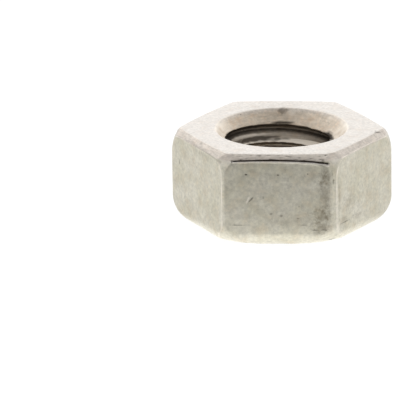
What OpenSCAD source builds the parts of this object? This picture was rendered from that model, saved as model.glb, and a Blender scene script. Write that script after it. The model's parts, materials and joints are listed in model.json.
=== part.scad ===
// Hexagon nut, cold formed in stainless steel and tapped, standing on its lower face.
// The origin is the centre of the lower face, +Z runs up the bore, and two flats face -Y and +Y.

/* [Hexagon] */
// Width across two opposite flats
across_flats = 13; // [11.5:0.1:19]
// How far each corner stands inside the corner of a sharp hexagon
corner_trim = 0.08; // [0.02:0.01:0.4]
// Height from the lower face to the upper face
height = 6.4; // [4.5:0.1:12]

/* [Upper edge] */
// How far the bevel above each flat runs in over the upper face
bevel_inset = 0.42; // [0.1:0.01:0.6]
// How far that bevel drops below the upper face
bevel_drop = 0.34; // [0.1:0.01:0.8]
// How far the upper face draws in at the corners
upper_corner_inset = 0.65; // [0.3:0.01:1.2]
// Height over which the upper corners draw in
upper_corner_drop = 1.65; // [1.2:0.05:2.2]

/* [Lower edge] */
// How far the rounded edge below each flat draws in
lower_edge_inset = 0.7; // [0.2:0.01:0.9]
// Height over which that edge draws in
lower_edge_rise = 1.2; // [0.9:0.05:1.6]
// How far the lower face draws in at the corners
lower_corner_inset = 1.5; // [0.9:0.01:1.65]
// Height over which the lower corners draw in
lower_corner_rise = 1.7; // [1.5:0.05:2.2]

/* [Thread] */
// Nominal diameter of the thread
thread_diameter = 8; // [6:0.1:9]
// Pitch of the thread, which also sets the hole that is drilled for the tap
thread_pitch = 1.25; // [0.5:0.05:1.5]
// How far the mouth of each countersink stands outside the thread
mouth_clearance = 0.5; // [0.1:0.05:0.7]
// Included angle of the countersinks
countersink_angle = 90; // [60:1:120]

/* [Hidden] */
$fn = 96;
steel_colour = "#c2beb2";

// Hexagon and the round blank that it is formed from
flat_sides = 6;
half_flats = across_flats / 2;
sharp_corner_r = half_flats / cos(180 / flat_sides);
blank_r = sharp_corner_r - corner_trim;

// Tapped hole and its countersinks
hole_r = (thread_diameter - thread_pitch) / 2;
mouth_r = thread_diameter / 2 + mouth_clearance;
countersink_depth = (mouth_r - hole_r) / tan(countersink_angle / 2);

// Room by which a cutting shape passes the surface that it cuts
cut_margin = 1;

// Radius of an arc that leaves a straight side at a tangent and draws in by inset over rise
function shoulder_r(inset, rise) = (inset * inset + rise * rise) / (2 * inset);

// Half of a section below its straight side: the side stands at x = side, and an arc
// draws it in by inset over rise, down to y = 0
module shoulder(side, inset, rise) {
    arc_r = shoulder_r(inset, rise);
    square([side - inset, rise]);
    intersection() {
        translate([side - arc_r, rise]) circle(arc_r);
        square([side + cut_margin, rise]);
    }
}

// Section of the round blank, from the axis outwards, with curved shoulders at both ends
module blank_section() {
    translate([0, lower_corner_rise])
        square([blank_r, height - lower_corner_rise - upper_corner_drop]);
    shoulder(blank_r, lower_corner_inset, lower_corner_rise);
    translate([0, height]) mirror([0, 1])
        shoulder(blank_r, upper_corner_inset, upper_corner_drop);
}

// Half of the section between two opposite flats: a bevel above and a rounded edge below
module flat_section() {
    shoulder(half_flats, lower_edge_inset, lower_edge_rise);
    polygon([
        [0, lower_edge_rise],
        [half_flats, lower_edge_rise],
        [half_flats, height - bevel_drop],
        [half_flats - bevel_inset, height],
        [0, height],
    ]);
}

// Bar that carries two opposite flats, facing -Y and +Y
module flat_pair() {
    bar_length = 2 * (sharp_corner_r + cut_margin);
    rotate([90, 0, 90])
        linear_extrude(bar_length, center = true) {
            flat_section();
            mirror([1, 0]) flat_section();
        }
}

// Drilled hole with a countersink at each face
module tapped_hole() {
    translate([0, 0, -cut_margin]) cylinder(h = height + 2 * cut_margin, r = hole_r);
    cylinder(h = countersink_depth, r1 = mouth_r, r2 = hole_r);
    translate([0, 0, height - countersink_depth])
        cylinder(h = countersink_depth, r1 = hole_r, r2 = mouth_r);
}

// The nut: three pairs of flats pressed on the round blank, then drilled and countersunk
module hex_nut() {
    color(steel_colour)
    difference() {
        intersection() {
            rotate_extrude() blank_section();
            intersection_for(pair = [1 : flat_sides / 2])
                rotate([0, 0, pair * 360 / flat_sides]) flat_pair();
        }
        tapped_hole();
    }
}

hex_nut();
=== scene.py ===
"""Models the looks of a cold-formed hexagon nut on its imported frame, laid out as a Blender add-on."""

import json
import math

import bmesh
import bpy
from mathutils import Matrix, Vector, noise


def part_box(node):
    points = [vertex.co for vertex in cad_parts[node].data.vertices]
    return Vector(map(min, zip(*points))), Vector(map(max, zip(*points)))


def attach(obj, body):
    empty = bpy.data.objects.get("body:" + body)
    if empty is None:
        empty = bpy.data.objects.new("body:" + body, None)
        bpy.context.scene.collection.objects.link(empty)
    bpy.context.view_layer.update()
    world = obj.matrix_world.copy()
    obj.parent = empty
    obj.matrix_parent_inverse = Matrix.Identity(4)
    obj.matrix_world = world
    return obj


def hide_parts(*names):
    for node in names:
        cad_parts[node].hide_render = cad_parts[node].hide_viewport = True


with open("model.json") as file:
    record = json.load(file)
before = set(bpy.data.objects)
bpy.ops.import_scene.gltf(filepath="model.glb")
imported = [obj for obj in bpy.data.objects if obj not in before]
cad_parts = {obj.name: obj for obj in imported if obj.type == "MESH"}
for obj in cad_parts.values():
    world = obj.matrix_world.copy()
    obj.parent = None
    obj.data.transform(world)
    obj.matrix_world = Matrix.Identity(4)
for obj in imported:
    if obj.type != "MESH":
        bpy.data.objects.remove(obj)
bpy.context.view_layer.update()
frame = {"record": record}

bl_info = {
    "name": "Hex Nut",
    "version": (1, 0, 0),
    "blender": (4, 5, 0),
    "location": "View3D > Sidebar > Hex Nut",
    "description": "Forms, taps and finishes a stainless steel hexagon nut, and sets its stage",
    "category": "Add Mesh",
}

MM = 0.001
NUT_LOW, NUT_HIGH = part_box("hex_nut")
THREAD_MOUNT = next(m for m in frame["record"]["mounts"] if m["name"] == "thread")
HOLE_RADIUS = THREAD_MOUNT["dims"]["r_mm"] * MM
THREAD_DIAMETER = 8 * MM
THREAD_PITCH = THREAD_DIAMETER - 2 * HOLE_RADIUS
COUNTERSINK_DEPTH = (NUT_HIGH.z - THREAD_MOUNT["dims"]["length_mm"] * MM) / 2

SIDES = 6
SECTOR = math.tau / SIDES
FRONT_FLAT_ANGLE = -math.pi / 2
PHOTO_SIZE = 400
SENSOR_WIDTH_MM = 36.0


def length(name, description, default):
    """A length property, in metres."""
    return bpy.props.FloatProperty(
        name=name, description=description, default=default, unit="LENGTH", subtype="DISTANCE", precision=5
    )


def angle(name, description, degrees):
    """An angle property, in radians."""
    return bpy.props.FloatProperty(
        name=name, description=description, default=math.radians(degrees), unit="ROTATION", subtype="ANGLE"
    )


def factor(name, description, default):
    """A plain number from 0 to 1."""
    return bpy.props.FloatProperty(
        name=name, description=description, default=default, min=0, max=1, subtype="FACTOR"
    )


def hex_to_linear(hex_colour):
    """An sRGB hex colour as linear red, green and blue."""
    channels = [int(hex_colour[i : i + 2], 16) / 255 for i in (1, 3, 5)]
    return [c / 12.92 if c <= 0.04045 else ((c + 0.055) / 1.055) ** 2.4 for c in channels]


def colour(name, description, hex_colour):
    """A colour property, given as an sRGB hex value."""
    return bpy.props.FloatVectorProperty(
        name=name, description=description, default=hex_to_linear(hex_colour), size=3, min=0, max=1,
        subtype="COLOR",
    )


class NutSizes(bpy.types.PropertyGroup):
    """Sizes of the nut. The main ones come from the frame."""

    across_flats: length("Across flats", "Width across two opposite flats", NUT_HIGH.y - NUT_LOW.y)
    across_corners: length("Across corners", "Width of the round blank", NUT_HIGH.x - NUT_LOW.x)
    height: length("Height", "Height from the lower face to the upper face", NUT_HIGH.z)
    bevel_inset: length("Bevel inset", "How far the upper bevel runs in over the upper face", 0.38 * MM)
    bevel_drop: length("Bevel drop", "How far the upper bevel drops below the upper face", 0.34 * MM)
    bevel_bow: length("Bevel bow", "How far the bevel falls back at the ends of a flat", 0.12 * MM)
    upper_corner_inset: length("Upper corner inset", "How far the upper corners draw in", 0.61 * MM)
    upper_corner_drop: length("Upper corner drop", "Height over which they draw in", 1.6 * MM)
    lower_edge_inset: length("Lower edge inset", "How far the edges below the flats draw in", 0.7 * MM)
    lower_edge_rise: length("Lower edge rise", "Height over which they draw in", 0.82 * MM)
    lower_edge_lean: angle("Lower edge lean", "Angle at which they leave the flats", 14)
    draft_height: length("Draft height", "Height from which the flats lean in downwards", 1.9 * MM)
    draft: angle("Draft", "How far the lower part of each flat leans in", 0.8)
    lower_corner_inset: length("Lower corner inset", "How far the lower corners draw in", 1.5 * MM)
    lower_corner_rise: length("Lower corner rise", "Height over which they draw in", 1.7 * MM)
    tumbled_edge: length("Tumbled edge", "Rounding that tumbling gave the edges", 0.045 * MM)
    hole_radius: length("Hole radius", "Inner radius of the thread", HOLE_RADIUS)
    countersink_depth: length("Countersink depth", "Depth of each countersink", COUNTERSINK_DEPTH)
    countersink_angle: angle("Countersink angle", "Included angle of each countersink", 90)
    lip_rounding: length("Lip rounding", "Softness of the countersinks' mouths", 0.09 * MM)
    thread_diameter: length("Thread diameter", "Nominal diameter of the thread", THREAD_DIAMETER)
    thread_pitch: length("Thread pitch", "Rise of the thread in one turn", THREAD_PITCH)
    thread_turn: angle("Thread turn", "How far the thread is turned round the bore", 217)


class SteelFinish(bpy.types.PropertyGroup):
    """Colours and gloss of the steel."""

    pressed: colour("Pressed steel", "Colour of the pressed flats", "#cdc9bb")
    dull: colour("Dull steel", "Colour of the duller clouds on them", "#c2beac")
    turned: colour("Turned steel", "Colour of the upper face", "#d3cec8")
    beveled: colour("Beveled steel", "Colour of the bevels round the upper face", "#c8c0b7")
    cut: colour("Cut steel", "Colour of the countersinks and the thread", "#cec2b2")
    worn: colour("Worn steel", "Colour of the pinker patches on flats and countersinks", "#bfa890")
    # The polished colour also paints highlights
    polished: colour("Polished steel", "Colour of the edges that are rubbed bright", "#eee6da")
    stain: colour("Stain", "Colour of the brown smudges", "#7a705e")
    # The grime colour also paints shade in the creases and in the thread
    grime: colour("Grime", "Colour of what has settled in creases and pits", "#20170f")
    roughness: factor("Roughness", "Mean roughness of the tumbled surface", 0.40)


class StudioSettings(bpy.types.PropertyGroup):
    """Floor, light and camera."""

    floor_colour: colour("Floor", "Colour of the pale floor", "#ffffff")
    camera_azimuth: angle("Camera azimuth", "How far the camera stands towards +X", 2.1)
    camera_elevation: angle("Camera elevation", "How far the camera looks down", 17.17)
    camera_roll: angle("Camera roll", "Turn of the camera about its view", -0.5)
    camera_distance: length("Camera distance", "Distance from the centre of the upper face", 444 * MM)
    pixels_per_mm: bpy.props.FloatProperty(
        name="Pixels per mm", description="Size of 1 mm at the upper face's centre in the picture",
        default=14.79,
    )
    aim_pixel: bpy.props.FloatVectorProperty(
        name="Aim pixel", description="Where the upper face's centre lies in the picture", size=2,
        default=(281.5, 127.24),
    )


def add_node(tree, kind, settings=None, inputs=None):
    """Adds a node with its settings, and sets each input to a value or links it to a socket."""
    node = tree.nodes.new(kind)
    for name, value in (settings or {}).items():
        setattr(node, name, value)
    for name, value in (inputs or {}).items():
        if isinstance(value, bpy.types.NodeSocket):
            tree.links.new(value, node.inputs[name])
        else:
            node.inputs[name].default_value = value
    return node


def smooth_min(a, b, reach):
    """The smaller of two lengths, blended where they differ by less than reach."""
    overlap = max(reach - abs(a - b), 0) / reach
    return min(a, b) - overlap * overlap * reach / 4


def smooth_max(a, b, reach):
    """The larger of two lengths, blended where they differ by less than reach."""
    return -smooth_min(-a, -b, reach)


def drawn_in(distance, inset, run):
    """How far a shoulder draws in at a distance from its end: an arc that is tangent to the side."""
    radius = (inset * inset + run * run) / (2 * inset)
    rise = max(run - distance, 0)
    return radius - math.sqrt(max(radius * radius - rise * rise, 0))


# Columns of the mesh on each flat, the share of them that crowds into a zone beside the corners,
# the zones below the upper face and round the countersinks' mouths that have finer rows, and how close
# points lie that are merged or that count as lying on a face
STEPS_PER_FLAT = 60
CORNER_SHARE = 0.28
CORNER_ZONE = math.radians(2.8)
CREASE_ZONE = (0.62 * MM, 0.26 * MM)
LIP_ZONE = 0.3 * MM
LIP_REACH = 1.01 * LIP_ZONE
MERGE_DISTANCE = 0.001 * MM
CLOSE = 1e-7

# What is left of the round blank at each corner stands in by this much, from the front flat's
# right-hand corner round towards +Y, and has a thin burr along its edges
CORNER_TRIMS = [t * MM for t in (0.06, 0, 0, 0, 0, -0.02)]
CORNER_BURR = 0.006 * MM

# The crease under each bevel, which is painted with shade: its depth, from the front flat round towards +X,
# its course, and the lip that it threw up, which lies some half widths below it and carries a painted
# highlight
CREASE_DEPTHS = [d * MM for d in (0.11, 0.0, 0.03, 0.05, 0.03, 0.025)]
CREASE_HALF_WIDTH = 0.053 * MM
CREASE_SPREAD = 0.09
CREASE_SPAN = (-3.15 * MM, 3.48 * MM)
CREASE_FADE = 0.12 * MM
CREASE_LIFT = 0.045 * MM
CREASE_TILT = 0.009
CREASE_RAGGED_LENGTH = 0.5 * MM
CREASE_RAGGEDNESS = 0.35
CREASE_LIP = 0.03 * MM
CREASE_LIP_PLACE = 2
CREASE_LIP_SHARPNESS = 2
CREASE_POLISH = 0.4
CREASE_DROOP = 0.045 / MM
DROOP_START = 1.9 * MM

# Half the length of a flat's upper edge
HALF_FLAT = 3.3 * MM

# Dirt in streaks on the front bevel, painted shade that thickens towards the crease, and a painted
# highlight towards the upper face
BEVEL_GRIME = 0.8
BEVEL_SHADE = 0.3
BEVEL_POLISH = 0.7
BEVEL_POLISH_CURVE = 1.5
DIRT_LENGTH = 0.4 * MM
DIRT_HEIGHT = 0.07 * MM
DIRT_CONTRAST = 3.2
DIRT_THRESHOLD = 0.7

# Fine steps that the tool left along the bevels
RIPPLE_LENGTH = 0.17 * MM
RIPPLE_DEPTH = 0.006 * MM
RIPPLE_MEAN = 0.6
RIPPLE_PATCH = 1 * MM

# The tap rolled each crest over into a small lip, which hangs over the flank beneath it. The roots are
# flat over a share of the pitch, on each side of their middle
ROOT_FLAT = 1 / 16
FLANK_ANGLE = math.radians(30)
UNDER_ANGLE = math.radians(10)
ROLLED_DEPTH = 0.3 * MM
CREST_LIP = 0.06 * MM
CREST_SLOPE = 0.45
CREST_CURL = 0.07 * MM
CURL_HEIGHT = 0.08 * MM
CREST_BLEND = 0.2 * MM

# Painted shade, with some grime, in the roots of the upper turns, more of it at the bore's two sides, and
# painted shade under the deeper crests; and painted highlights on the crests and on the deeper turns
ROOT_GRIME = 0.61
END_GRIME = 0.39
UNDER_GRIME = 0.5
DEEP_POLISH = 0.7
GRIMY_DEPTH = 1.9 * MM
CREST_GRIME = 0.02
CREST_SHEEN = 0.3
CREST_POLISH = 0.95
CLEAN_SHARE = 0.9
CLEAN_CURVE = 2
CLEAN_SIDE_CURVE = 3

# Dark oil with painted shade, and a painted highlight band, on the second crest, and dark chips at the
# bore's upper rim with painted shade at its right-hand side: middle and half span in degrees, middle and
# half height in mm above the crest's lip or below the upper face, and strength
OIL_PATCHES = (
    (124, 32, 0.26, 0.18, 0.85),
    (97, 5, 0.20, 0.10, 0.7),
)
RUBBED_BANDS = ((140, 30, 0.49, 0.11, 0.6),)
OILED_DEPTHS = (1.2 * MM, 2.3 * MM)
OIL_FADE = 0.1 * MM
RIM_CHIPS = (
    (92, 12, 0.81, 0.08, 0.85),
    (24, 18, 1.06, 0.15, 0.95),
    (25, 8, 0.88, 0.08, 0.35),
)

# Ragged rims of these patches: how fine they are round the bore and along it, how ragged, where the
# rim ends in half sizes, and how steep it is
PATCH_FINENESS = 9
PATCH_HEIGHT = 0.15 * MM
PATCH_RAGGEDNESS = 0.4
PATCH_END = 1.3
PATCH_STEEPNESS = 1.6

# Edges that tumbling rubbed bright, with a painted highlight along them, less so on the front flat than on
# the others. The corners' painted highlight runs from some bevel drops below the upper face downwards
POLISHED_HALF_WIDTH = 0.03 * MM
EDGE_POLISH = 0.75
FRONT_POLISH = 0.1
TOP_POLISH = 0.3
CORNER_SHINE_DROPS = 1.6
POLISH_MEAN = 0.7
POLISH_SPREAD = 0.9
POLISH_PATCH = 0.5 * MM

# Painted highlight along the countersinks' mouths, and spotty painted highlight at the two sides of their
# cones
LIP_POLISH = 0.45
END_POLISH = 0.7
END_CURVE = 8
END_MEAN = 0.9
END_SPREAD = 0.7
END_FINENESS = 8
END_HEIGHT = 0.3 * MM

# Unevenness that pressing and tumbling left on the outside
WAVE_LENGTH = 1.6 * MM
WAVE_DEPTH = 0.008 * MM


def flat_at(theta):
    """Number of the flat at an angle, counted from the front one, and the turn from that flat's middle."""
    index = round((theta - FRONT_FLAT_ANGLE) / SECTOR)
    return index % SIDES, theta - FRONT_FLAT_ANGLE - index * SECTOR


def crowd_columns(theta):
    """Moves a column's angle so that columns crowd at the corners."""
    _, turn = flat_at(theta)
    share = abs(turn) / (SECTOR / 2)
    plain = SECTOR / 2 - CORNER_ZONE
    if share <= 1 - CORNER_SHARE:
        crowded = plain * share / (1 - CORNER_SHARE)
    else:
        crowded = plain + CORNER_ZONE * (share - 1 + CORNER_SHARE) / CORNER_SHARE
    return theta - turn + math.copysign(crowded, turn)


def window(value, low, high, fade):
    """1 between two limits, 0 outside them, with a soft step at each."""
    rise = min(max((value - low) / fade + 0.5, 0), 1)
    fall = min(max((high - value) / fade + 0.5, 0), 1)
    return rise * fall


def crease(sizes, flat, along, z):
    """How far the crease under a flat's bevel cuts in, and its painted shade, dirt streaks and painted
    highlights there.
    """
    bow = sizes.bevel_bow * (along / HALF_FLAT) ** 2 * sizes.bevel_drop / sizes.bevel_inset
    line = sizes.height - sizes.bevel_drop - CREASE_HALF_WIDTH - bow + CREASE_LIFT - CREASE_TILT * along
    line -= CREASE_DROOP * max(along - DROOP_START, 0) ** 2
    half_width = CREASE_HALF_WIDTH * (1 + CREASE_SPREAD * along / MM)
    half_width *= 1 + CREASE_RAGGEDNESS * noise.noise(Vector((along / CREASE_RAGGED_LENGTH, flat, 2)))
    from_line = (z - line) / half_width
    present = window(along, *CREASE_SPAN, CREASE_FADE) * CREASE_DEPTHS[flat] / max(CREASE_DEPTHS)
    cut = max(CREASE_DEPTHS) * math.exp(-(from_line**2))
    lip = math.exp(-CREASE_LIP_SHARPNESS * (from_line + CREASE_LIP_PLACE) ** 2)
    on_bevel = window(z, line, sizes.height - sizes.tumbled_edge, sizes.tumbled_edge)
    climb = min(max((z - line) / (sizes.height - line), 0), 1)
    streak = noise.noise(Vector((along / DIRT_LENGTH, z / DIRT_HEIGHT, flat)))
    dirt = max(DIRT_CONTRAST * streak - DIRT_THRESHOLD, 0)
    dirt = on_bevel * max(BEVEL_GRIME * dirt, BEVEL_SHADE * (1 - climb) ** 2)
    # Painted shade in the crease, and on the bevel dirt streaks with painted shade that thickens towards
    # the crease
    grime = max(math.exp(-(from_line**4)), dirt)
    # Painted highlights on the crease's lip and towards the upper face
    shine = max(CREASE_POLISH * lip, BEVEL_POLISH * on_bevel * climb**BEVEL_POLISH_CURVE)
    return (cut - CREASE_LIP * lip) * present, grime * present, shine * present


def side_radius(sizes, theta, z):
    """Radius of the nut's outside at an angle and a height, its grime and painted shade, and its polish and
    painted highlight there.
    """
    flat, turn = flat_at(theta)
    half_flats = sizes.across_flats / 2
    along = half_flats * math.tan(turn)
    lean = math.tan(sizes.lower_edge_lean)
    arc_inset = sizes.lower_edge_inset - sizes.lower_edge_rise * lean
    edge = half_flats - drawn_in(z, arc_inset, sizes.lower_edge_rise)
    edge += smooth_min(z - sizes.lower_edge_rise, 0, sizes.tumbled_edge) * lean
    edge -= max(sizes.draft_height - z, 0) * math.tan(sizes.draft)
    above_bevel = z - (sizes.height - sizes.bevel_drop)
    bevel = half_flats - above_bevel * sizes.bevel_inset / sizes.bevel_drop
    bevel -= sizes.bevel_bow * (along / HALF_FLAT) ** 2
    uneven = RIPPLE_MEAN + noise.noise(Vector((along / RIPPLE_PATCH, flat, 0)))
    bevel += RIPPLE_DEPTH * uneven * math.sin(math.tau * (sizes.height - z) / RIPPLE_LENGTH)
    apothem = smooth_min(edge, bevel, sizes.tumbled_edge)
    corner = flat if turn > 0 else (flat - 1) % SIDES
    blank = sizes.across_corners / 2 - CORNER_TRIMS[corner]
    blank -= drawn_in(z, sizes.lower_corner_inset, sizes.lower_corner_rise)
    blank -= drawn_in(sizes.height - z, sizes.upper_corner_inset, sizes.upper_corner_drop)
    pressed = apothem / math.cos(turn)
    radius = smooth_min(pressed, blank, sizes.tumbled_edge)
    radius += CORNER_BURR * math.exp(-(((pressed - blank) / sizes.tumbled_edge) ** 2))
    roll = max(1 - (sizes.height - z) / sizes.tumbled_edge, 0)
    radius -= sizes.tumbled_edge * (1 - math.sqrt(1 - roll * roll))
    depth, grime, shine = crease(sizes, flat, along, z)
    place = Vector((radius * math.cos(theta), radius * math.sin(theta), z))
    radius += WAVE_DEPTH * noise.noise(place / WAVE_LENGTH)
    # Edges rubbed bright by tumbling, with a painted highlight along them and along the upper face's
    # rounded edge
    from_corner = (pressed - blank) / POLISHED_HALF_WIDTH
    from_bevel = (edge - bevel) / POLISHED_HALF_WIDTH
    rubbed = math.exp(-(from_bevel**2) - max(from_corner, 0))
    shine_top = sizes.height - CORNER_SHINE_DROPS * sizes.bevel_drop
    under_bevel = window(z, 0, shine_top, sizes.bevel_drop)
    rubbed = max(rubbed, under_bevel * math.exp(-(from_corner**2)))
    rubbed *= POLISH_MEAN + POLISH_SPREAD * noise.noise(place / POLISH_PATCH)
    rubbed *= FRONT_POLISH if flat == 0 else EDGE_POLISH
    return radius - depth, grime, max(rubbed, shine, TOP_POLISH * roll)


def patches(spots, theta, level):
    """How strong the ragged patches in the bore are, at an angle and a level."""
    ragged = PATCH_RAGGEDNESS * noise.noise(Vector((theta * PATCH_FINENESS, level / PATCH_HEIGHT, 0)))
    share = 0.0
    for middle, half_span, middle_level, half_height, strength in spots:
        across = (theta - math.radians(middle)) / math.radians(half_span)
        away = math.hypot(across, (level / MM - middle_level) / half_height) + ragged
        share = max(share, strength * min(max(PATCH_STEEPNESS * (PATCH_END - away), 0), 1))
    return share


def thread_wall(sizes, theta, z):
    """Radius of the right-hand thread's wall at an angle and a height, its grime and painted shade, and its
    painted highlights there.
    """
    pitch, major = sizes.thread_pitch, sizes.thread_diameter / 2
    crest = sizes.hole_radius - CREST_LIP
    root = pitch * ROOT_FLAT
    turns = z / pitch - (theta - sizes.thread_turn) / math.tau - 0.5
    above = (turns - math.floor(turns)) * pitch
    below = pitch - above
    knee = root + (major - crest - ROLLED_DEPTH) * math.tan(FLANK_ANGLE)
    under = major - max(above - root, 0) / math.tan(FLANK_ANGLE)
    under = min(under, crest + ROLLED_DEPTH - (above - knee) / math.tan(UNDER_ANGLE))
    over = major - max(below - root, 0) / math.tan(FLANK_ANGLE)
    up_lip = max(above - knee - ROLLED_DEPTH * math.tan(UNDER_ANGLE), 0)
    rolled = crest + up_lip * CREST_SLOPE + CREST_CURL * (1 - math.exp(-up_lip / CURL_HEIGHT))
    wall = smooth_max(over, rolled, CREST_BLEND)
    # Painted shade with grime in the roots of the upper turns, darker at the bore's two sides, and a
    # painted highlight on the deeper turns
    root_grime, least_polish = 0.0, DEEP_POLISH
    if sizes.height - z < GRIMY_DEPTH:
        root_grime, least_polish = ROOT_GRIME + END_GRIME * math.cos(theta) ** 2, 0.0
    # Painted shade under the crests
    if under > wall:
        return under, max(root_grime, UNDER_GRIME), 0.0
    # Less painted shade towards the crests
    clean = min(max((major - wall) / (CLEAN_SHARE * (major - crest)), 0), 1)
    clean **= CLEAN_CURVE + CLEAN_SIDE_CURVE * abs(math.cos(theta))
    grime = root_grime * (1 - clean) + CREST_GRIME * clean
    # Dark oil with painted shade, and a painted highlight band, on the second crest
    oiled = window(sizes.height - z, *OILED_DEPTHS, OIL_FADE)
    on_lip = math.exp(-((up_lip / CURL_HEIGHT) ** 2))
    # Painted highlight on the crests, most of it on their lips
    polish = clean * (CREST_SHEEN + (CREST_POLISH - CREST_SHEEN) * on_lip)
    rubbed = oiled * patches(RUBBED_BANDS, theta, up_lip)
    grime = max(grime * (1 - rubbed), oiled * patches(OIL_PATCHES, theta, up_lip))
    return wall, grime, max(polish, rubbed, least_polish)


def turn_blank(bm, sizes):
    """Turns the round blank: a drilled and countersunk ring, spun from its section.

    Each point of the section has its radius, its height and the rows of mesh up to the next point.
    """
    top, blank = sizes.height, sizes.across_corners / 2
    hole, deep = sizes.hole_radius, sizes.countersink_depth
    mouth = hole + deep * math.tan(sizes.countersink_angle / 2)
    slope = (mouth - hole) / deep
    section = [
        (mouth, 0, 5),
        (mouth + LIP_ZONE, 0, 7),
        (blank, 0, 14),
        (blank, sizes.lower_corner_rise, 12),
        (blank, top - sizes.upper_corner_drop, 10),
        (blank, top - CREASE_ZONE[0], 22),
        (blank, top - CREASE_ZONE[1], 12),
        (blank, top - sizes.tumbled_edge, 6),
        (blank, top, 8),
        (mouth + LIP_ZONE, top, 8),
        (mouth, top, 8),
        (mouth - LIP_ZONE * slope, top - LIP_ZONE, 14),
        (hole, top - deep, 112),
        (hole, deep, 14),
        (mouth - LIP_ZONE * slope, LIP_ZONE, 5),
    ]
    for (r, z, rows), (end_r, end_z, _) in zip(section, section[1:] + section[:1]):
        stretch = bm.edges.new((bm.verts.new((r, 0, z)), bm.verts.new((end_r, 0, end_z))))
        bmesh.ops.subdivide_edges(bm, edges=[stretch], cuts=rows - 1)
    bmesh.ops.remove_doubles(bm, verts=bm.verts, dist=MERGE_DISTANCE)
    bmesh.ops.spin(
        bm,
        geom=bm.verts[:] + bm.edges[:],
        cent=(0, 0, 0),
        axis=(0, 0, 1),
        angle=math.tau,
        steps=SIDES * STEPS_PER_FLAT,
        use_merge=True,
    )
    return mouth


def form_and_tap(bm, sizes, mouth, grime_layer, polish_layer):
    """Presses the blank to its hexagon and cuts the thread, by moving each point to its place."""
    top, blank = sizes.height, sizes.across_corners / 2
    slope = math.tan(sizes.countersink_angle / 2)
    for vert in bm.verts:
        radius = math.hypot(vert.co.x, vert.co.y)
        theta = crowd_columns(math.atan2(vert.co.y, vert.co.x))
        z = vert.co.z
        grime, polish = 0.0, 0.0
        on_face = min(z, top - z) < CLOSE
        if radius >= mouth - CLOSE and not on_face:
            radius, grime, polish = side_radius(sizes, theta, z)
        elif radius >= mouth - CLOSE:
            outline = side_radius(sizes, theta, z)[0]
            radius = mouth + (radius - mouth) * (outline - mouth) / (blank - mouth)
        if radius < mouth + LIP_REACH:
            from_face = -smooth_min(0, (radius - mouth) / slope, sizes.lip_rounding)
            from_mouth = (radius - mouth) / (sizes.lip_rounding / 2)
            # Painted highlight along the mouth
            polish = LIP_POLISH * math.exp(-(from_mouth**2))
            if z > top / 2:
                z = min(z, top - from_face)
            else:
                z = max(z, from_face)
        if radius < mouth:
            # Dark chips at the bore's upper rim, with painted shade at its right-hand side
            grime = patches(RIM_CHIPS, theta, top - z)
            # Spotty painted highlight at the two sides of the cone
            spots = noise.noise(Vector((theta * END_FINENESS, z / END_HEIGHT, 1)))
            at_side = (END_MEAN + END_SPREAD * spots) * math.cos(theta) ** END_CURVE
            polish = max(polish, END_POLISH * at_side)
            wall, wall_grime, wall_polish = thread_wall(sizes, theta, z)
            if wall > radius or abs(z - top / 2) < top / 2 - sizes.countersink_depth:
                radius, grime, polish = wall, wall_grime, wall_polish
        vert.co = (radius * math.cos(theta), radius * math.sin(theta), z)
        vert[grime_layer] = grime
        vert[polish_layer] = polish


# Steel counts as turned from where its surface begins to look up to where it plainly does
TURNED_LEAN = (0.3, 0.65)

# Pits, nicks and scratches: centre, half length and half width in mm, lean in degrees, and how dark each is
MARKS = (
    ((-2.16, -6.50, 5.10), 0.12, 0.08, 0, 0.8),
    ((-0.03, -6.50, 5.06), 0.10, 0.07, 0, 0.6),
    ((1.96, -6.50, 5.13), 0.07, 0.09, 0, 0.6),
    ((-1.83, -6.50, 3.35), 0.30, 0.09, 48, 0.55),
    ((-2.73, -6.50, 1.54), 0.50, 0.06, 0, 0.35),
    ((1.62, -6.50, 1.55), 0.30, 0.06, 0, 0.3),
    ((2.44, -6.48, 1.20), 0.28, 0.08, 0, 0.5),
    ((3.08, -6.45, 1.22), 0.34, 0.09, 0, 0.35),
    ((-0.07, 4.34, 6.22), 0.46, 0.30, 0, 0.5),
    ((-2.89, 3.29, 6.28), 0.06, 0.06, 0, 0.6),
    ((6.55, -1.08, 6.33), 0.50, 0.04, -19, 0.6),
    ((-3.12, -6.46, 6.04), 0.14, 0.20, 0, 0.95),
    ((-0.52, -6.50, 2.33), 0.12, 0.09, 0, 0.4),
    ((-1.03, -6.50, 3.47), 0.08, 0.14, 0, 0.3),
    ((0.17, -6.50, 2.20), 0.12, 0.10, 0, 0.4),
    ((1.29, -6.50, 2.03), 0.14, 0.08, 0, 0.35),
    ((1.37, -6.50, 2.85), 0.11, 0.08, 0, 0.3),
    ((3.66, -6.38, 4.57), 0.08, 0.22, 0, 0.4),
    ((3.62, -6.40, 5.10), 0.08, 0.12, 0, 0.3),
    ((3.50, -5.63, 0.29), 0.34, 0.10, 0, 0.7),
    ((4.40, -5.34, 1.44), 0.80, 0.06, 0, 0.45),
    ((4.95, -4.43, 1.60), 0.12, 0.05, 0, 0.4),
    ((5.25, -3.91, 2.45), 0.10, 0.12, 0, 0.35),
    ((-6.88, -1.08, 4.26), 0.08, 0.22, 0, 0.4),
    ((-5.60, -3.30, 4.60), 0.07, 0.12, 0, 0.3),
)

# Painted highlights, one of them the light core of a scratch: the same measures, and how bright each is
GLINTS = (
    ((-2.06, -6.50, 3.30), 0.30, 0.10, 60, 0.6),
    ((0.55, 4.26, 6.15), 0.40, 0.35, 0, 0.4),
    ((3.20, 2.85, 6.10), 0.45, 0.40, 0, 0.3),
    ((3.75, -5.93, 6.05), 0.40, 0.35, 0, 0.3),
)

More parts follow.
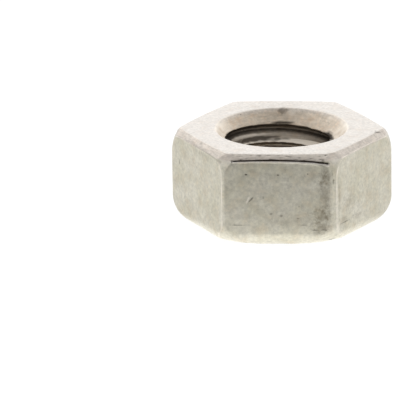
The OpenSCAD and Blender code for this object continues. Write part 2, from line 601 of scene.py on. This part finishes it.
# Brown smudges: centre, half length and half height in mm, and how strong each is
SMUDGES = (
    ((3.15, -6.50, 4.90), 0.45, 0.60, 0.7),
    ((3.10, -6.50, 3.60), 0.45, 1.20, 0.5),
    ((2.95, -6.50, 2.20), 0.65, 0.60, 0.65),
    ((2.90, -6.50, 1.35), 0.70, 0.45, 0.55),
    ((0.90, -6.50, 1.90), 1.80, 0.60, 0.25),
    ((4.69, -4.88, 2.70), 0.70, 0.80, 0.35),
    ((4.35, -5.47, 1.60), 0.50, 0.35, 0.4),
    ((5.30, -3.82, 1.45), 0.70, 0.25, 0.3),
    ((4.05, -5.98, 3.20), 0.14, 1.40, 0.35),
    ((-5.20, -3.99, 5.75), 1.40, 0.22, 0.25),
    ((-0.60, 4.10, 5.95), 2.40, 0.80, 0.2),
)

# Sizes of the patterns on the steel, and of the step from turned to cut steel inside the mouths
CLOUD_SIZE = 1.6 * MM
WEAR_SIZE = 0.8 * MM
BLOTCH_SIZE = 0.45 * MM
GRAIN_SIZE = 0.2 * MM
GRAIN_DEPTH = 0.01 * MM
DIE_STREAK_WIDTH = 0.25 * MM
TOOL_STREAK_HEIGHT = 0.09 * MM
RAGGED_SIZE = 0.3 * MM
CUT_FADE = 0.35 * MM


def spot_distance(tree, place, centre, half_length, half_height, lean):
    """Distance from the middle of a spot, which is 1 at its rim."""
    near = add_node(
        tree, "ShaderNodeMapping", {"vector_type": "TEXTURE"},
        {
            "Vector": place,
            "Location": [c * MM for c in centre],
            "Rotation": (0, -math.radians(lean), 0),
            "Scale": (half_length * MM, half_length * MM, half_height * MM),
        },
    )
    away = add_node(tree, "ShaderNodeVectorMath", {"operation": "LENGTH"}, {0: near.outputs[0]})
    return away.outputs["Value"]


def add_spot(tree, place, uneven, shares, spot):
    """Adds a spot with a ragged edge to a map of shares, and returns the new map."""
    centre, half_length, half_width, lean, strength = spot
    away = spot_distance(tree, place, centre, half_length, half_width, lean)
    rim = add_node(tree, "ShaderNodeMath", {"operation": "MULTIPLY_ADD"}, {0: uneven, 1: 0.4, 2: away})
    share = add_node(
        tree, "ShaderNodeMapRange", {"interpolation_type": "SMOOTHSTEP"},
        {"Value": rim.outputs[0], "From Min": 0.3, "From Max": 1.0, "To Min": strength, "To Max": 0.0},
    )
    most = add_node(tree, "ShaderNodeMath", {"operation": "MAXIMUM"}, {0: shares, 1: share.outputs[0]})
    return most.outputs[0]


def cold_formed_stainless(finish, sizes):
    """Cold-formed stainless steel, tumbled and pickled: satin, warm grey, faintly clouded and streaked."""
    material = bpy.data.materials.new("tumbled_stainless_steel")
    material.use_nodes = True
    tree = material.node_tree
    shader = tree.nodes["Principled BSDF"]
    place = add_node(tree, "ShaderNodeTexCoord").outputs["Object"]
    axes = add_node(tree, "ShaderNodeSeparateXYZ", None, {"Vector": place})

    # Clouds of duller steel
    clouds = add_node(
        tree, "ShaderNodeTexNoise", None,
        {"Vector": place, "Scale": 1 / CLOUD_SIZE, "Detail": 4.0, "Roughness": 0.6},
    )
    cloud_share = add_node(
        tree, "ShaderNodeMapRange", None,
        {"Value": clouds.outputs[0], "From Min": 0.35, "From Max": 0.65},
    )
    steel = add_node(
        tree, "ShaderNodeMix", {"data_type": "RGBA"},
        {"Factor": cloud_share.outputs[0], 6: (*finish.pressed, 1), 7: (*finish.dull, 1)},
    )

    # Turned steel is pinker than the pressed flats, and the mesh says where it lies
    turned = add_node(tree, "ShaderNodeAttribute", {"attribute_name": "turned"})
    steel = add_node(
        tree, "ShaderNodeMix", {"data_type": "RGBA"},
        {"Factor": turned.outputs["Fac"], 6: steel.outputs[2], 7: (*finish.turned, 1)},
    )

    # The bevels are darker than the upper face
    on_bevel = add_node(
        tree, "ShaderNodeMapRange", None,
        {
            "Value": axes.outputs["Z"],
            "From Min": sizes.height - 1.3 * sizes.bevel_drop,
            "From Max": sizes.height - 1.1 * sizes.bevel_drop,
        },
    )
    off_top = add_node(
        tree, "ShaderNodeMapRange", None,
        {
            "Value": axes.outputs["Z"],
            "From Min": sizes.height - sizes.tumbled_edge,
            "From Max": sizes.height,
            "To Min": 1.0,
            "To Max": 0.0,
        },
    )
    tooled = add_node(
        tree, "ShaderNodeMath", {"operation": "MULTIPLY"}, {0: on_bevel.outputs[0], 1: off_top.outputs[0]}
    )
    steel = add_node(
        tree, "ShaderNodeMix", {"data_type": "RGBA"},
        {"Factor": tooled.outputs[0], 6: steel.outputs[2], 7: (*finish.beveled, 1)},
    )

    # Cut steel is browner, and lies inside the mouths of the countersinks
    outward = add_node(tree, "ShaderNodeVectorMath", {"operation": "MULTIPLY"}, {0: place, 1: (1, 1, 0)})
    out = add_node(tree, "ShaderNodeVectorMath", {"operation": "LENGTH"}, {0: outward.outputs[0]})
    mouth = sizes.hole_radius + sizes.countersink_depth * math.tan(sizes.countersink_angle / 2)
    cut_share = add_node(
        tree, "ShaderNodeMapRange", {"interpolation_type": "SMOOTHSTEP"},
        {
            "Value": out.outputs["Value"],
            "From Min": mouth - CUT_FADE,
            "From Max": mouth,
            "To Min": 1.0,
            "To Max": 0.0,
        },
    )
    steel = add_node(
        tree, "ShaderNodeMix", {"data_type": "RGBA"},
        {"Factor": cut_share.outputs[0], 6: steel.outputs[2], 7: (*finish.cut, 1)},
    )

    # Worn patches, pinker, and plainer inside the countersinks
    wear = add_node(
        tree, "ShaderNodeTexNoise", None,
        {"Vector": place, "Scale": 1 / WEAR_SIZE, "Detail": 4.0, "Roughness": 0.65},
    )
    wear_most = add_node(
        tree, "ShaderNodeMapRange", None, {"Value": cut_share.outputs[0], "To Min": 0.22, "To Max": 0.7}
    )
    wear_share = add_node(
        tree, "ShaderNodeMapRange", {"interpolation_type": "SMOOTHSTEP"},
        {"Value": wear.outputs[0], "From Min": 0.45, "From Max": 0.72, "To Max": wear_most.outputs[0]},
    )
    steel = add_node(
        tree, "ShaderNodeMix", {"data_type": "RGBA"},
        {"Factor": wear_share.outputs[0], 6: steel.outputs[2], 7: (*finish.worn, 1)},
    )

    # Mottling left by the tumbling, in blotches and in grains
    blotches = add_node(
        tree, "ShaderNodeTexNoise", None,
        {"Vector": place, "Scale": 1 / BLOTCH_SIZE, "Detail": 3.0, "Roughness": 0.6},
    )
    mottle = add_node(
        tree, "ShaderNodeTexNoise", None,
        {"Vector": place, "Scale": 1 / GRAIN_SIZE, "Detail": 3.0, "Roughness": 0.6},
    )
    mottling = add_node(
        tree, "ShaderNodeMix", {"data_type": "FLOAT"},
        {"Factor": 0.75, 2: blotches.outputs[0], 3: mottle.outputs[0]},
    )
    mottle_level = add_node(
        tree, "ShaderNodeMapRange", {"clamp": False},
        {"Value": mottling.outputs[0], "From Min": 0.3, "From Max": 0.7, "To Min": 0.78, "To Max": 1.22},
    )

    # Faint upright streaks from the die on the flats, and level ones from the tool on the bevels
    # and inside the countersinks
    upright = add_node(tree, "ShaderNodeVectorMath", {"operation": "MULTIPLY"}, {0: place, 1: (1, 1, 0.3)})
    streaks = add_node(
        tree, "ShaderNodeTexNoise", None,
        {"Vector": upright.outputs[0], "Scale": 1 / DIE_STREAK_WIDTH, "Detail": 3.0, "Roughness": 0.6},
    )
    streak_level = add_node(
        tree, "ShaderNodeMapRange", {"clamp": False},
        {"Value": streaks.outputs[0], "From Min": 0.3, "From Max": 0.7, "To Min": 0.99, "To Max": 1.01},
    )
    level = add_node(
        tree, "ShaderNodeVectorMath", {"operation": "MULTIPLY"}, {0: place, 1: (0.12, 0.12, 1)}
    )
    drawn = add_node(
        tree, "ShaderNodeTexNoise", None,
        {"Vector": level.outputs[0], "Scale": 1 / TOOL_STREAK_HEIGHT, "Detail": 3.0, "Roughness": 0.7},
    )
    drawn_level = add_node(
        tree, "ShaderNodeMapRange", {"clamp": False},
        {"Value": drawn.outputs[0], "From Min": 0.3, "From Max": 0.7, "To Min": 0.86, "To Max": 1.14},
    )
    lined = add_node(
        tree, "ShaderNodeMath", {"operation": "MAXIMUM"}, {0: tooled.outputs[0], 1: cut_share.outputs[0]}
    )
    line_level = add_node(
        tree, "ShaderNodeMix", {"data_type": "FLOAT"},
        {"Factor": lined.outputs[0], 2: streak_level.outputs[0], 3: drawn_level.outputs[0]},
    )
    texture = add_node(
        tree, "ShaderNodeMath", {"operation": "MULTIPLY"},
        {0: mottle_level.outputs[0], 1: line_level.outputs[0]},
    )
    toned = add_node(
        tree, "ShaderNodeVectorMath", {"operation": "SCALE"},
        {0: steel.outputs[2], "Scale": texture.outputs[0]},
    )

    # Ragged edges for every spot
    ragged = add_node(
        tree, "ShaderNodeTexNoise", None,
        {"Vector": place, "Scale": 1 / RAGGED_SIZE, "Detail": 5.0, "Roughness": 0.7},
    )
    uneven = add_node(
        tree, "ShaderNodeMapRange", {"clamp": False},
        {"Value": ragged.outputs[0], "From Min": 0.3, "From Max": 0.7, "To Min": -0.7, "To Max": 0.7},
    )

    # Edges rubbed bright with a painted highlight, and other painted highlights, carried by the mesh, and
    # painted highlight spots
    rubbed = add_node(tree, "ShaderNodeAttribute", {"attribute_name": "polish"}).outputs["Fac"]
    for spot in GLINTS:
        rubbed = add_spot(tree, place, uneven.outputs[0], rubbed, spot)
    stained = add_node(
        tree, "ShaderNodeMix", {"data_type": "RGBA"},
        {"Factor": rubbed, 6: toned.outputs[0], 7: (*finish.polished, 1)},
    ).outputs[2]

    # Brown smudges
    for centre, half_length, half_height, strength in SMUDGES:
        away = spot_distance(tree, place, centre, half_length, half_height, 0)
        rim = add_node(tree, "ShaderNodeMath", {"operation": "ADD"}, {0: away, 1: uneven.outputs[0]})
        share = add_node(
            tree, "ShaderNodeMapRange", {"interpolation_type": "SMOOTHSTEP"},
            {"Value": rim.outputs[0], "From Min": -0.2, "From Max": 1.3, "To Min": strength, "To Max": 0.0},
        )
        stained = add_node(
            tree, "ShaderNodeMix", {"data_type": "RGBA"},
            {"Factor": share.outputs[0], 6: stained, 7: (*finish.stain, 1)},
        ).outputs[2]

    # Grime and painted shade, carried by the mesh, and grime in the pits
    grime = add_node(tree, "ShaderNodeAttribute", {"attribute_name": "grime"}).outputs["Fac"]
    for spot in MARKS:
        grime = add_spot(tree, place, uneven.outputs[0], grime, spot)
    finished = add_node(
        tree, "ShaderNodeMix", {"data_type": "RGBA"},
        {"Factor": grime, 6: stained, 7: (*finish.grime, 1)},
    )
    tree.links.new(finished.outputs[2], shader.inputs["Base Color"])

    # Roughness follows the grains, and is higher on cut steel
    rough = add_node(
        tree, "ShaderNodeMapRange", {"clamp": False},
        {
            "Value": mottle.outputs[0],
            "From Min": 0.25,
            "From Max": 0.75,
            "To Min": finish.roughness - 0.05,
            "To Max": finish.roughness + 0.05,
        },
    )
    threaded = add_node(
        tree, "ShaderNodeMath", {"operation": "MULTIPLY_ADD"},
        {0: cut_share.outputs[0], 1: 0.12, 2: rough.outputs[0]},
    )
    tree.links.new(threaded.outputs[0], shader.inputs["Roughness"])
    shader.inputs["Metallic"].default_value = 1
    bump = add_node(
        tree, "ShaderNodeBump", None,
        {"Height": mottle.outputs[0], "Strength": 0.1, "Distance": GRAIN_DEPTH},
    )
    tree.links.new(bump.outputs[0], shader.inputs["Normal"])
    return material


class FormNut(bpy.types.Operator):
    """Form, tap and finish the hexagon nut"""

    bl_idname = "hexnut.form_nut"
    bl_label = "Form Nut"

    def execute(self, context):
        sizes = context.scene.nut_sizes
        bm = bmesh.new()
        mouth = turn_blank(bm, sizes)
        grime_layer = bm.verts.layers.float.new("grime")
        polish_layer = bm.verts.layers.float.new("polish")
        form_and_tap(bm, sizes, mouth, grime_layer, polish_layer)
        bmesh.ops.recalc_face_normals(bm, faces=bm.faces)
        bm.normal_update()
        turned_layer = bm.verts.layers.float.new("turned")
        begins, plain = TURNED_LEAN
        for vert in bm.verts:
            vert[turned_layer] = min(max((vert.normal.z - begins) / (plain - begins), 0), 1)
        for face in bm.faces:
            face.smooth = True
        mesh = bpy.data.meshes.new("hex_nut_body")
        bm.to_mesh(mesh)
        bm.free()
        mesh.materials.append(cold_formed_stainless(context.scene.nut_finish, sizes))
        nut = bpy.data.objects.new("hex_nut_body", mesh)
        context.scene.collection.objects.link(nut)
        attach(nut, "root")
        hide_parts("hex_nut")
        return {"FINISHED"}


# The light tent: how much height counts against depth, where it brightens from low to high, and what the
# back and the two sides add
TENT_TILT = 0.9
TENT_REACH = (-0.9, -0.2)
TENT_LEVELS = (0.16, 0.65)
BACK_LIGHT = 0.9
BACK_CURVE = 2.0
SIDE_LIGHT = 0.3


def studio_world():
    """World that is white to the camera, and to the steel a tent that is dark on the camera's side."""
    world = bpy.data.worlds.new("studio")
    world.use_nodes = True
    tree = world.node_tree
    tree.nodes.clear()
    way = add_node(tree, "ShaderNodeTexCoord").outputs["Generated"]
    axes = add_node(tree, "ShaderNodeSeparateXYZ", None, {"Vector": way})
    height = add_node(
        tree, "ShaderNodeMath", {"operation": "MULTIPLY_ADD"},
        {0: axes.outputs["Z"], 1: TENT_TILT, 2: axes.outputs["Y"]},
    )
    tent = add_node(
        tree, "ShaderNodeMapRange", {"interpolation_type": "SMOOTHSTEP"},
        {
            "Value": height.outputs[0],
            "From Min": TENT_REACH[0],
            "From Max": TENT_REACH[1],
            "To Min": TENT_LEVELS[0],
            "To Max": TENT_LEVELS[1],
        },
    )
    behind = add_node(tree, "ShaderNodeMath", {"operation": "MAXIMUM"}, {0: axes.outputs["Y"], 1: 0.0})
    back = add_node(tree, "ShaderNodeMath", {"operation": "POWER"}, {0: behind.outputs[0], 1: BACK_CURVE})
    both = add_node(
        tree, "ShaderNodeMath", {"operation": "MULTIPLY_ADD"},
        {0: back.outputs[0], 1: BACK_LIGHT, 2: tent.outputs[0]},
    )
    aside = add_node(tree, "ShaderNodeMath", {"operation": "ABSOLUTE"}, {0: axes.outputs["X"]})
    level = add_node(
        tree, "ShaderNodeMath", {"operation": "MULTIPLY_ADD"},
        {0: aside.outputs[0], 1: SIDE_LIGHT, 2: both.outputs[0]},
    )
    path = add_node(tree, "ShaderNodeLightPath")
    strength = add_node(
        tree, "ShaderNodeMix", {"data_type": "FLOAT"},
        {"Factor": path.outputs["Is Camera Ray"], 2: level.outputs[0], 3: 1.0},
    )
    light = add_node(
        tree, "ShaderNodeBackground", None, {"Color": (1, 1, 1, 1), "Strength": strength.outputs[0]}
    )
    add_node(tree, "ShaderNodeOutputWorld", None, {"Surface": light.outputs[0]})
    return world


# The floor's size, how much light it throws back, how bright it glows, and how bright the part that the
# camera sees through the bore looks, a grey that is painted shade
FLOOR_SIZE = 4.0
FLOOR_SHADE = 0.2
FLOOR_GLOW = 0.9
FLOOR_IN_BORE = 0.3

# The glow of the floor that the steel mirrors is painted: dimmer towards the camera, less so at the sides,
# and brighter in a ring close to the nut, a painted pool of light, which is narrower from side to side
FADING_SIDES = 0.5
FADING_REACH = (-30 * MM, -3 * MM)
FADING_LEVELS = (0.3, 0.97)
NEAR_NARROWING = 1.3
NEAR_REACH = (6.5 * MM, 10.5 * MM)
NEAR_LEVEL = 1.66


def pale_floor(settings, sizes):
    """Backlit white paper: it looks white and takes the nut's soft shadow; its glow fades out under the nut
    as a painted shadow, which the camera sees as a painted grey shade through the bore.
    """
    material = bpy.data.materials.new("white_paper_sweep")
    material.use_nodes = True
    tree = material.node_tree
    tree.nodes.clear()
    place = add_node(tree, "ShaderNodeTexCoord").outputs["Object"]
    out = add_node(tree, "ShaderNodeVectorMath", {"operation": "LENGTH"}, {0: place})
    # The glow fades out under the nut: a painted shadow
    glow_level = add_node(
        tree, "ShaderNodeMapRange", {"interpolation_type": "SMOOTHSTEP"},
        {
            "Value": out.outputs["Value"],
            "From Min": sizes.thread_diameter / 2,
            "From Max": sizes.across_flats / 2 - sizes.lower_edge_inset,
            "To Min": 0.0,
            "To Max": FLOOR_GLOW,
        },
    )
    paper = add_node(
        tree, "ShaderNodeBsdfDiffuse", None,
        {"Color": (*[FLOOR_SHADE * c for c in settings.floor_colour], 1)},
    )
    axes = add_node(tree, "ShaderNodeSeparateXYZ", None, {"Vector": place})
    aside = add_node(tree, "ShaderNodeMath", {"operation": "ABSOLUTE"}, {0: axes.outputs["X"]})
    reach = add_node(
        tree, "ShaderNodeMath", {"operation": "MULTIPLY_ADD"},
        {0: aside.outputs[0], 1: FADING_SIDES, 2: axes.outputs["Y"]},
    )
    fading = add_node(
        tree, "ShaderNodeMapRange", None,
        {
            "Value": reach.outputs[0],
            "From Min": FADING_REACH[0],
            "From Max": FADING_REACH[1],
            "To Min": FADING_LEVELS[0],
            "To Max": FADING_LEVELS[1],
        },
    )
    narrowed = add_node(
        tree, "ShaderNodeVectorMath", {"operation": "MULTIPLY"}, {0: place, 1: (NEAR_NARROWING, 1, 1)}
    )
    away = add_node(tree, "ShaderNodeVectorMath", {"operation": "LENGTH"}, {0: narrowed.outputs[0]})
    near = add_node(
        tree, "ShaderNodeMapRange", {"interpolation_type": "SMOOTHSTEP"},
        {
            "Value": away.outputs["Value"],
            "From Min": NEAR_REACH[0],
            "From Max": NEAR_REACH[1],
            "To Min": NEAR_LEVEL,
            "To Max": 1.0,
        },
    )
    # What the steel mirrors: the painted glow, dimmer towards the camera, with a painted pool of light
    # round the nut
    mirrored = add_node(
        tree, "ShaderNodeMath", {"operation": "MULTIPLY"}, {0: fading.outputs[0], 1: near.outputs[0]}
    )
    dimmed = add_node(
        tree, "ShaderNodeMath", {"operation": "MULTIPLY"},
        {0: glow_level.outputs[0], 1: mirrored.outputs[0]},
    )
    # What the camera sees: at least a painted grey shade through the bore
    seen = add_node(
        tree, "ShaderNodeMath", {"operation": "MAXIMUM"}, {0: glow_level.outputs[0], 1: FLOOR_IN_BORE}
    )
    path = add_node(tree, "ShaderNodeLightPath")
    strength = add_node(
        tree, "ShaderNodeMix", {"data_type": "FLOAT"},
        {"Factor": path.outputs["Is Camera Ray"], 2: dimmed.outputs[0], 3: seen.outputs[0]},
    )
    glow = add_node(
        tree, "ShaderNodeEmission", None,
        {"Color": (*settings.floor_colour, 1), "Strength": strength.outputs[0]},
    )
    lit = add_node(tree, "ShaderNodeAddShader", None, {0: paper.outputs[0], 1: glow.outputs[0]})
    add_node(tree, "ShaderNodeOutputMaterial", None, {"Surface": lit.outputs[0]})
    return material


# Nearest and farthest distance that the camera sees
CLIP_START = 10 * MM
CLIP_END = 10.0


def place_camera(context, settings, sizes):
    """Stands the camera at the photo's angle, with the upper face's centre at its place in the picture."""
    target = Vector((0, 0, sizes.height))
    azimuth, elevation = settings.camera_azimuth, settings.camera_elevation
    back = Vector((
        math.sin(azimuth) * math.cos(elevation),
        -math.cos(azimuth) * math.cos(elevation),
        math.sin(elevation),
    ))
    focal_pixels = settings.pixels_per_mm / MM * settings.camera_distance
    right, down = (p - PHOTO_SIZE / 2 for p in settings.aim_pixel)
    off_axis = Vector((0, 0, -1)).rotation_difference(Vector((right, -down, -focal_pixels)))
    look = (-back).to_track_quat("-Z", "Y").to_matrix()
    roll = Matrix.Rotation(settings.camera_roll, 3, "Z")
    lens = bpy.data.cameras.new("camera")
    lens.sensor_width = SENSOR_WIDTH_MM
    lens.lens = focal_pixels * SENSOR_WIDTH_MM / PHOTO_SIZE
    lens.clip_start = CLIP_START
    lens.clip_end = CLIP_END
    camera = bpy.data.objects.new("camera", lens)
    turn = look @ roll @ off_axis.to_matrix().inverted()
    camera.matrix_world = Matrix.Translation(target + back * settings.camera_distance) @ turn.to_4x4()
    context.scene.collection.objects.link(camera)
    context.scene.camera = camera


# Lamps: name, place and size in metres, and power in watts
LAMPS = (
    ("key_softbox", (-0.28, 0.22, 0.34), 0.5, 0.15),
)


class SetStage(bpy.types.Operator):
    """Set the floor, the soft light and the camera"""

    bl_idname = "hexnut.set_stage"
    bl_label = "Set Stage"

    def execute(self, context):
        scene = context.scene
        settings = scene.nut_studio
        mesh = bpy.data.meshes.new("floor")
        bm = bmesh.new()
        bmesh.ops.create_grid(bm, x_segments=1, y_segments=1, size=FLOOR_SIZE / 2)
        bm.to_mesh(mesh)
        bm.free()
        mesh.materials.append(pale_floor(settings, scene.nut_sizes))
        floor = bpy.data.objects.new("floor", mesh)
        scene.collection.objects.link(floor)
        scene.world = studio_world()
        for name, place, size, power in LAMPS:
            lamp = bpy.data.lights.new(name, "AREA")
            lamp.size = size
            lamp.energy = power
            holder = bpy.data.objects.new(name, lamp)
            turn = (-Vector(place)).to_track_quat("-Z", "Y").to_matrix().to_4x4()
            holder.matrix_world = Matrix.Translation(place) @ turn
            scene.collection.objects.link(holder)
        place_camera(context, settings, scene.nut_sizes)
        scene.view_settings.view_transform = "Standard"
        return {"FINISHED"}


class NutPanel(bpy.types.Panel):
    """Lists the nut's operators"""

    bl_idname = "VIEW3D_PT_hex_nut"
    bl_label = "Hex Nut"
    bl_space_type = "VIEW_3D"
    bl_region_type = "UI"
    bl_category = "Hex Nut"

    def draw(self, context):
        for operator in (FormNut, SetStage):
            self.layout.operator(operator.bl_idname)


CLASSES = (NutSizes, SteelFinish, StudioSettings, FormNut, SetStage, NutPanel)


def register():
    for cls in CLASSES:
        bpy.utils.register_class(cls)
    bpy.types.Scene.nut_sizes = bpy.props.PointerProperty(type=NutSizes)
    bpy.types.Scene.nut_finish = bpy.props.PointerProperty(type=SteelFinish)
    bpy.types.Scene.nut_studio = bpy.props.PointerProperty(type=StudioSettings)


def unregister():
    del bpy.types.Scene.nut_studio
    del bpy.types.Scene.nut_finish
    del bpy.types.Scene.nut_sizes
    for cls in reversed(CLASSES):
        bpy.utils.unregister_class(cls)


def main():
    register()
    bpy.ops.hexnut.form_nut()
    bpy.ops.hexnut.set_stage()


if __name__ == "__main__":
    main()
